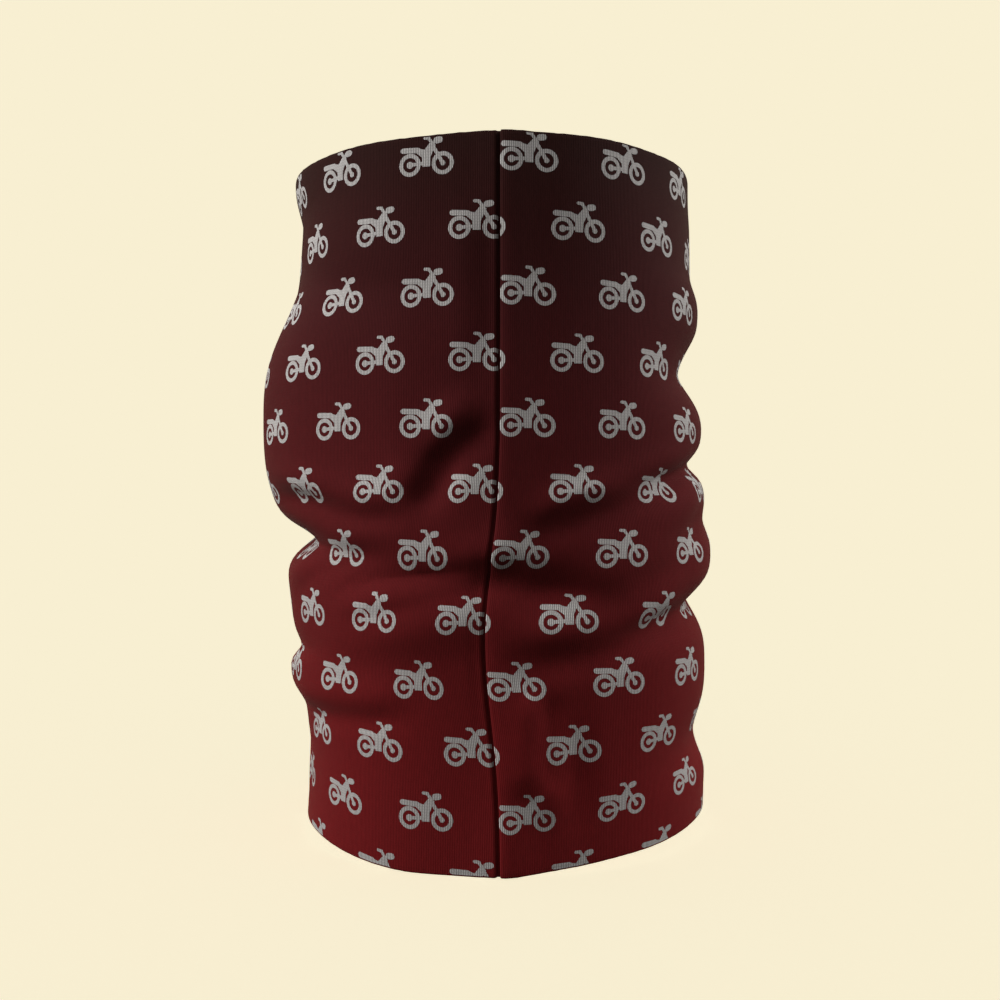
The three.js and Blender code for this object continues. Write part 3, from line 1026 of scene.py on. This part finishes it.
def make_print(skin):
    """Every motorcycle, laid on the facets. Those that are cut alike share one flat cut."""
    verts, faces, uvs, known = [], [], [], {}
    count = 0
    for row in range(MOTIF_ROWS):
        for column in range(MOTIF_COLUMNS):
            middle = MOTIF_FIRST + MOTIF_PITCH * (column + 0.5 * (row % 2))
            height = MOTIF_TOP - row * MOTIF_RISE
            columns = np.round(skin.lines(middle - REACH_X, middle + REACH_X) - middle, CUT_DIGITS)
            rows = skin.rows[(skin.rows > height - REACH_Y) & (skin.rows < height + REACH_Y)]
            rows = np.round(rows - height, CUT_DIGITS)
            key = (*columns, *rows)
            if key not in known:
                known[key] = cut_motif(columns, rows)
            flat, triangles = known[key]
            flat = flat + (middle, height)
            triangles = triangles[skin.own(flat[triangles].mean(axis=1)[:, 0])[1]]
            if not len(triangles):
                continue
            used, triangles = np.unique(triangles, return_inverse=True)
            spots, places = skin.at(flat[used, 0], flat[used, 1])
            verts.append(spots)
            uvs.append(places)
            faces += (triangles.reshape(-1, 3) + count).tolist()
            count += len(used)
    return mesh_object("motorcycle_print", np.concatenate(verts), faces, np.concatenate(uvs))


print_ink = make_print(Skin(*outside))
print_ink.data.materials.append(printed_jersey("print_grey", motif=True))

# ---------------------------------------------------------------- the seam's threads and the label

THREAD_SIDES = 8


def tube_faces(rings, sides):
    """The faces of a tube of so many rings of so many points, closed at its ends."""
    faces = []
    for low in range(0, (rings - 1) * sides, sides):
        for k in range(sides):
            m = (k + 1) % sides
            faces.append((low + k, low + m, low + sides + m, low + sides + k))
    faces.append(tuple(range(sides))[::-1])
    faces.append(tuple((rings - 1) * sides + k for k in range(sides)))
    return faces


def sweep(name, path, radius):
    """A round thread along a path."""
    path = np.asarray(path)
    tangent = np.gradient(path, axis=0)
    tangent /= np.linalg.norm(tangent, axis=1, keepdims=True)
    across = np.cross(tangent[0], (0.3, 1, 0.1))  # any direction that isn't along the thread
    rings, uvs = [], []
    length = 0
    for i, (spot, ahead) in enumerate(zip(path, tangent)):
        across = across - ahead * across.dot(ahead)
        across /= np.linalg.norm(across)
        other = np.cross(ahead, across)
        length += np.linalg.norm(spot - path[i - 1]) if i else 0
        for a in np.linspace(0, 2 * math.pi, THREAD_SIDES, endpoint=False):
            rings.append(spot + radius * (across * math.cos(a) + other * math.sin(a)))
            uvs.append((length, radius * a))
    return mesh_object(name, rings, tube_faces(len(path), THREAD_SIDES), uvs)


STITCH = 2.9  # height of one zigzag and of one needle stitch
LOOPER_INNER = 2.9  # from the seam to the near side of a zigzag
LOOPER_OUTER = ALLOWANCE + GAP + THREAD / 2  # and to its far side
LOOPER_START = 2  # from a hem to the loopers' ends
LOOPER_STEPS = 14  # points to a zigzag
LOOPER_OVER = 0.88  # share of a swing at which a looper starts to go round the cut edge
LOOPER_LEAN = 0.1  # how unevenly it climbs, in stitches
NEEDLE_START = 1  # from a hem to the needle thread's end
NEEDLE_STEPS = 6  # points to a stitch
NEEDLE_DIP = 0.1  # how far the needle thread rises and sinks, and half as far aside


def make_looper(name, depth, edge_depth):
    count = int((HEIGHT - 2 * LOOPER_START) / STITCH)
    t = np.linspace(0, count, count * LOOPER_STEPS + 1)
    swing = (1 - np.cos(2 * math.pi * t)) / 2
    girth = LOOPER_INNER + (LOOPER_OUTER - LOOPER_INNER) * swing
    depth = depth + (edge_depth - depth) * ease(swing, LOOPER_OVER, 1)
    z = LOOPER_START + STITCH * (t + LOOPER_LEAN * np.sin(4 * math.pi * t))
    return sweep(name, surface.place(girth, depth, z), THREAD / 2)


def make_needle_thread():
    count = int((HEIGHT - 2 * NEEDLE_START) / STITCH)
    t = np.linspace(0, count, count * NEEDLE_STEPS + 1)
    girth = LOOPER_INNER - GAP - 1.5 * THREAD + NEEDLE_DIP / 2 * np.sin(2 * math.pi * t)
    depth = UPPER_LOOPER_DEPTH - GAP + NEEDLE_DIP * np.cos(2 * math.pi * t)
    return sweep("needle_stitches", surface.place(girth, depth, NEEDLE_START + STITCH * t), THREAD / 2)


LABEL_START = ALLOWANCE + 1.1  # from the seam
LABEL_DEPTH = 2.4
LABEL_HEIGHT = 40  # of its middle
LABEL_LENGTH = 21  # folded
LABEL_WIDTH = 14
RIBBON = 0.28  # thickness
FOLD_RADIUS = 0.45
FOLD_TRIM = 0.3  # radians left off each end of the fold
LABEL_PARTING = 0.2  # how much further apart its two lengths are halfway
LABEL_STEPS = 16  # points along each length
FOLD_STEPS = 7
LABEL_LEVELS = 9  # points across the ribbon
LABEL_LEAN = 0.24  # slope at which it leaves the seam inwards
LABEL_CURL = 150
LABEL_FLIP = 0.6  # how far its end turns in, more at its top corner
LABEL_DROOP = 0.02


def label_line():
    """The ribbon's middle line out, round its fold and back, as (from the seam, inwards)."""
    line = [(s, 0.0) for s in np.linspace(0, LABEL_LENGTH, LABEL_STEPS)]
    for a in np.linspace(FOLD_TRIM, math.pi - FOLD_TRIM, FOLD_STEPS):
        line.append((LABEL_LENGTH + FOLD_RADIUS * math.sin(a), FOLD_RADIUS * (1 - math.cos(a))))
    for s in np.linspace(LABEL_LENGTH, 0, LABEL_STEPS):
        line.append((s, 2 * FOLD_RADIUS + LABEL_PARTING * math.sin(math.pi * s / LABEL_LENGTH)))
    return np.array(line)


def make_label():
    """A folded ribbon that stands out of the seam's edge and curls with the tube."""
    corner = surface.place(LABEL_START, LABEL_DEPTH, LABEL_HEIGHT)
    turn = math.atan2(corner[0] - AXIS[0], AXIS[1] - corner[1])
    along = np.array([math.cos(turn), math.sin(turn), 0])
    inward = np.array([-math.sin(turn), math.cos(turn), 0])
    line = label_line()
    tangent = np.gradient(line, axis=0)
    tangent /= np.linalg.norm(tangent, axis=1, keepdims=True)
    run = np.concatenate([[0], np.cumsum(np.linalg.norm(np.diff(line, axis=0), axis=1))])
    levels = np.linspace(-LABEL_WIDTH / 2, LABEL_WIDTH / 2, LABEL_LEVELS)
    ring = [(1, level) for level in levels] + [(-1, level) for level in levels[::-1]]
    verts, uvs = [], []
    for i, (s, deep) in enumerate(line):
        for side, level in ring:
            x = s - tangent[i, 1] * side * RIBBON / 2
            y = deep + tangent[i, 0] * side * RIBBON / 2
            flip = LABEL_FLIP * (x / LABEL_LENGTH) ** 2 * (1 + 0.5 * level / LABEL_WIDTH)
            y += x * x / LABEL_CURL + LABEL_LEAN * x + flip
            verts.append(corner + along * x + inward * y + np.array([0, 0, level - LABEL_DROOP * x]))
            uvs.append((run[i], level))
    return mesh_object("blank_label", verts, tube_faces(len(line), len(ring)), uvs)


thread_look = sewing_thread()
upper = make_looper("upper_looper", UPPER_LOOPER_DEPTH, LEFT_TURN_DEPTH)
lower = make_looper("lower_looper", LOWER_LOOPER_DEPTH, RIGHT_TURN_DEPTH)
needle = make_needle_thread()
for piece in (upper, lower, needle):
    piece.data.materials.append(thread_look)
label = make_label()
label.data.materials.append(satin_ribbon())

# ---------------------------------------------------------------- on the frame

for piece in (panel, print_ink, upper, lower, needle, label):
    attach(piece, "root")
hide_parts("knit_panel")
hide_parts("upper_looper_thread")
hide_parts("lower_looper_thread")
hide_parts("needle_thread")
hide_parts("fibre_label")
